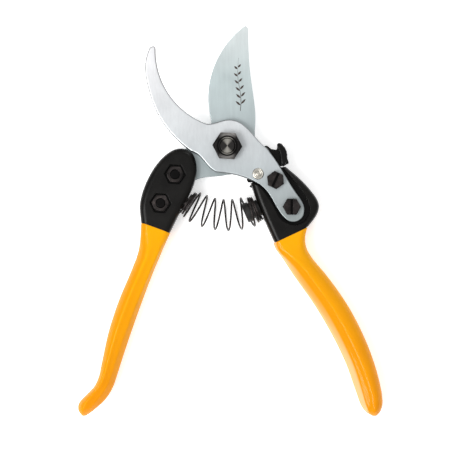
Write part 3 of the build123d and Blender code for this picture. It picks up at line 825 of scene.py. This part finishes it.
def grip(name, node, rows, shape, dip, body, flip):
    """A dipped coating: rings along the handle, sculpted on the front, with a lip over the casting.

    The inner side is on the left, and flip puts it on the right.
    """
    middle_x, dip_y, slope = dip
    end_y = rows[-1][0]
    rings = []

    def side_at(y, tilt, side):
        """Where a ring that is tilted with the dip line meets one side of the outline."""
        side_y = y
        for _ in range(SIDE_ROUNDS):
            x = at_y(rows, side_y)[side]
            side_y = y + (x - middle_x) * slope * tilt
        return x, side_y

    def ring(y, tilt, change, proud):
        """A ring at y. tilt and change go from the casting to the sculpted grip, 1 to 0 and 0 to 1."""
        left, left_y = side_at(y, tilt, 0)
        right, right_y = side_at(y, tilt, 1)
        width = right - left
        centre = (left + right) / 2
        before_end = min((y - end_y) / END_LENGTH, 1.0)
        rounding = math.sqrt(max(1 - (1 - before_end) ** 2, 0.0))
        grip_half = min(HALF_THICKNESS, width * THICKNESS_BY_WIDTH[0] + THICKNESS_BY_WIDTH[1])
        thickening = smooth_step(change * THICKNESS_RATE)
        half = CASTING_HALF_THICKNESS + (grip_half - CASTING_HALF_THICKNESS) * thickening
        boxy = even_section(casting_section(width, 2 * half))
        sculpted = even_section(sculpted_section(*at_y(shape, y), flip))
        blend = smooth_step(change)
        points = []
        for (u, v), (s, t) in zip(boxy, sculpted):
            across = u + (s - u) * blend
            height = v + (t - v) * blend
            x = left - proud + across * (width + 2 * proud)
            x = centre + (x - centre) * (END_WIDTH + (1 - END_WIDTH) * rounding)
            z = JOINT_Z + height * (half + proud) * (END_THICKNESS + (1 - END_THICKNESS) * rounding)
            point_y = left_y + (right_y - left_y) * (x - left) / width
            points.append((x * MM, point_y * MM, z * MM))
        rings.append(points)

    for rise, proud in LIP_RINGS:
        ring(dip_y + rise, 1.0, 0.0, proud)
    y = dip_y - FIRST_RING
    while y > end_y + LAST_RING:
        down = (dip_y - y) / CHANGE_LENGTH
        proud = LIP_PROUD * (1 - smooth_step(down * LIP_RATE))
        ring(y, 1 - smooth_step(down), down * SECTION_RATE, proud)
        y -= RING_STEP
    for share in END_RINGS:
        ring(end_y + END_LENGTH * share, 0.0, 1.0, 0.0)
    piece = new_piece(name, *joined(rings), body, VINYL, "grip_vinyl")
    smoother = piece.modifiers.new("smooth", "SUBSURF")
    smoother.levels = 1
    smoother.render_levels = 1
    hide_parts(node)


grip("left_vinyl", "left_grip", LEFT_GRIP_ROWS, LEFT_SHAPE, LEFT_DIP, "left_arm", True)
grip("right_vinyl", "right_grip", RIGHT_GRIP_ROWS, RIGHT_SHAPE, RIGHT_DIP, "right_arm", False)

# ------------------------------------------------------------------ coil spring

# The middle of the coils goes along this circle about the pivot
SPRING_CIRCLE = 34.7
# Turns from the left end, the angle about the pivot in degrees, and the coil's radius
SPRING_STATIONS = [
    (0.0, 234.6, 6.0), (1.6, 237.2, 6.1), (2.3, 238.9, 7.4), (3.0, 243.1, 7.75),
    (8.0, 289.2, 7.75), (8.6, 292.0, 6.6), (11.0, 296.0, 6.0),
]
# The wide coils are a little flattened, so that they clear the table
TALLEST_COIL = 7.45
# The turns where one piece of the wire ends and the next starts
SPRING_CUTS = [0.0, 1.6, 3.0, 4.25, 5.5, 6.75, 8.0, 8.8, 11.0]
# The wire moves with the left arm up to the first of these turns, and with the right arm from the second
FIRST_BENDING_TURN = 1.6
LAST_BENDING_TURN = 8.8
WIRE_RADIUS = 0.47
STEPS_PER_TURN = 48
WIRE_POINTS = 14
# How far ahead and back along the wire its direction is taken
DIRECTION_STEP = 0.005
UPWARD = Vector((0, 0, 1))


def spring_station(turn):
    """The angle about the pivot and the coil's radius at a turn."""
    after = 1
    while after < len(SPRING_STATIONS) - 1 and turn > SPRING_STATIONS[after][0]:
        after += 1
    turn_a, angle_a, radius_a = SPRING_STATIONS[after - 1]
    turn_b, angle_b, radius_b = SPRING_STATIONS[after]
    share = (turn - turn_a) / (turn_b - turn_a)
    return angle_a + share * (angle_b - angle_a), radius_a + smooth_step(share) * (radius_b - radius_a)


def spring_point(turn):
    """A point of the wire's middle line, in millimetres."""
    angle, radius = spring_station(turn)
    reach = SPRING_CIRCLE + radius * math.cos(2 * math.pi * turn)
    height = JOINT_Z + min(radius, TALLEST_COIL) * math.sin(2 * math.pi * turn)
    around = math.radians(angle)
    return Vector((reach * math.cos(around), reach * math.sin(around), height))


def wire_piece(name, first_turn, last_turn, body):
    steps = round((last_turn - first_turn) * STEPS_PER_TURN)
    rings = []
    for n in range(steps + 1):
        turn = first_turn + (last_turn - first_turn) * n / steps
        centre = spring_point(turn)
        after = spring_point(min(turn + DIRECTION_STEP, SPRING_CUTS[-1]))
        before = spring_point(max(turn - DIRECTION_STEP, SPRING_CUTS[0]))
        ahead = (after - before).normalized()
        side = ahead.cross(UPWARD).normalized()
        up = side.cross(ahead)
        ring = []
        for k in range(WIRE_POINTS):
            angle = 2 * math.pi * k / WIRE_POINTS
            point = centre + (side * math.cos(angle) + up * math.sin(angle)) * WIRE_RADIUS
            ring.append(tuple(point * MM))
        rings.append(ring)
    piece = new_piece(name, *joined(rings), body, WIRE, "spring_steel")
    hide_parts("coil_spring")
    return piece


def blend_share(turn):
    """The share of a blend's span, 0 to 1, where its smooth step turns by what the wire turns there."""
    part_lost = 1 - (LAST_BENDING_TURN - turn) / (LAST_BENDING_TURN - FIRST_BENDING_TURN)
    return 0.5 - math.sin(math.asin(1 - 2 * part_lost) / 3)


def blend_wire(piece, first_turn, last_turn):
    """Work out the span over which a length of wire would blend between the arms, meeting its neighbours at
    both cuts, and bake its place into its mesh.
    """
    at_first, at_last = spring_point(first_turn), spring_point(last_turn)
    share_first, share_last = blend_share(first_turn), blend_share(last_turn)
    along = at_last - at_first
    along.z = 0
    direction = along / along.length
    span = along.length / (share_last - share_first)
    start = at_first - direction * share_first * span
    end = start + direction * span
    start.z = end.z = JOINT_Z
    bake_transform(piece)


def spring():
    """The wire in lengths: the end coils ride on their arms, and the lengths between are attached to neither.
    """
    for index, (first_turn, last_turn) in enumerate(zip(SPRING_CUTS, SPRING_CUTS[1:])):
        name = f"spring_part_{index + 1}"
        if last_turn <= FIRST_BENDING_TURN:
            wire_piece(name, first_turn, last_turn, "left_arm")
        elif first_turn >= LAST_BENDING_TURN:
            wire_piece(name, first_turn, last_turn, "right_arm")
        else:
            blend_wire(wire_piece(name, first_turn, last_turn, None), first_turn, last_turn)


spring()

# ------------------------------------------------------------------ sprig etched on the blade

SPRIG_FOOT = Vector((6.6, 18.0))
SPRIG_TIP = Vector((5.4, 45.0))
SPRIG_LENGTH = (SPRIG_TIP - SPRIG_FOOT).length
SPRIG_ALONG = (SPRIG_TIP - SPRIG_FOOT).normalized()
SPRIG_ACROSS = Vector((SPRIG_ALONG.y, -SPRIG_ALONG.x))
SPRIG_THICKNESS = 0.02 * MM
STEM_STEPS = 26
STEM_HALF_WIDTH = 0.14
STEM_TAPER = 1.15
STEM_SWAY = 0.55
STEM_HALF_WAVES = 2.2
LEAF_PAIRS = 6
# Shares of the stem's length: up to the first leaves, over all the pairs, and the right leaf's lead
FIRST_PAIR, PAIRS_SPREAD, RIGHT_LEAD = 0.10, 0.82, 0.03
LONGEST_LEAF = 3.4
LEAF_SHORTENING = 0.24
LEAF_HALF_WIDTH = 0.60
LEAF_FULLNESS = 0.9
LEAF_TAPER = 0.35
LEAF_OUTWARD, LEAF_FORWARD = 0.72, 0.69
LEAF_GAP = 0.15
LEAF_STEPS = 12


def beside_stem(share, offset):
    """A point at a share of the stem's length, and a distance to the right of its swaying line."""
    sway = STEM_SWAY * math.sin(STEM_HALF_WAVES * math.pi * share)
    return SPRIG_FOOT + SPRIG_ALONG * (share * SPRIG_LENGTH) + SPRIG_ACROSS * (sway + offset)


def stem_outline():
    """The stem, which gets thinner towards its tip."""
    left, right = [], []
    for n in range(STEM_STEPS + 1):
        share = n / STEM_STEPS
        half = STEM_HALF_WIDTH * (STEM_TAPER - share)
        left.append(beside_stem(share, -half))
        right.append(beside_stem(share, half))
    return left + right[::-1]


def leaf_outline(pair, side):
    """A leaf on one side of the stem: -1 is left and 1 is right."""
    share = FIRST_PAIR + PAIRS_SPREAD * pair / LEAF_PAIRS
    base = beside_stem(share + (RIGHT_LEAD if side > 0 else 0.0), 0)
    direction = (SPRIG_ACROSS * side * LEAF_OUTWARD + SPRIG_ALONG * LEAF_FORWARD).normalized()
    normal = Vector((direction.y, -direction.x))
    length = LONGEST_LEAF - LEAF_SHORTENING * pair
    upper, lower = [], []
    for n in range(LEAF_STEPS + 1):
        t = n / LEAF_STEPS
        half = LEAF_HALF_WIDTH * math.sin(math.pi * t) ** LEAF_FULLNESS * (1 - LEAF_TAPER * t)
        centre = base + direction * (LEAF_GAP + length * t)
        upper.append(centre + normal * half)
        lower.append(centre - normal * half)
    return upper + lower[-2:0:-1]


def sprig():
    """A stem with paired leaves, as a thin dark film on the front of the cutting blade."""
    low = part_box("cutting_blade")[1].z
    outlines = [stem_outline()]
    outlines += [leaf_outline(pair, side) for pair in range(LEAF_PAIRS) for side in (-1, 1)]
    vertices, faces = [], []
    for outline in outlines:
        rings = [[(p.x * MM, p.y * MM, z) for p in outline] for z in (low, low + SPRIG_THICKNESS)]
        film_vertices, film_faces = joined(rings)
        faces += [tuple(len(vertices) + corner for corner in face) for face in film_faces]
        vertices += film_vertices
    new_piece("blade_sprig", vertices, faces, "left_arm", etching(), "blade_steel", smooth=False)


sprig()
add_studio()
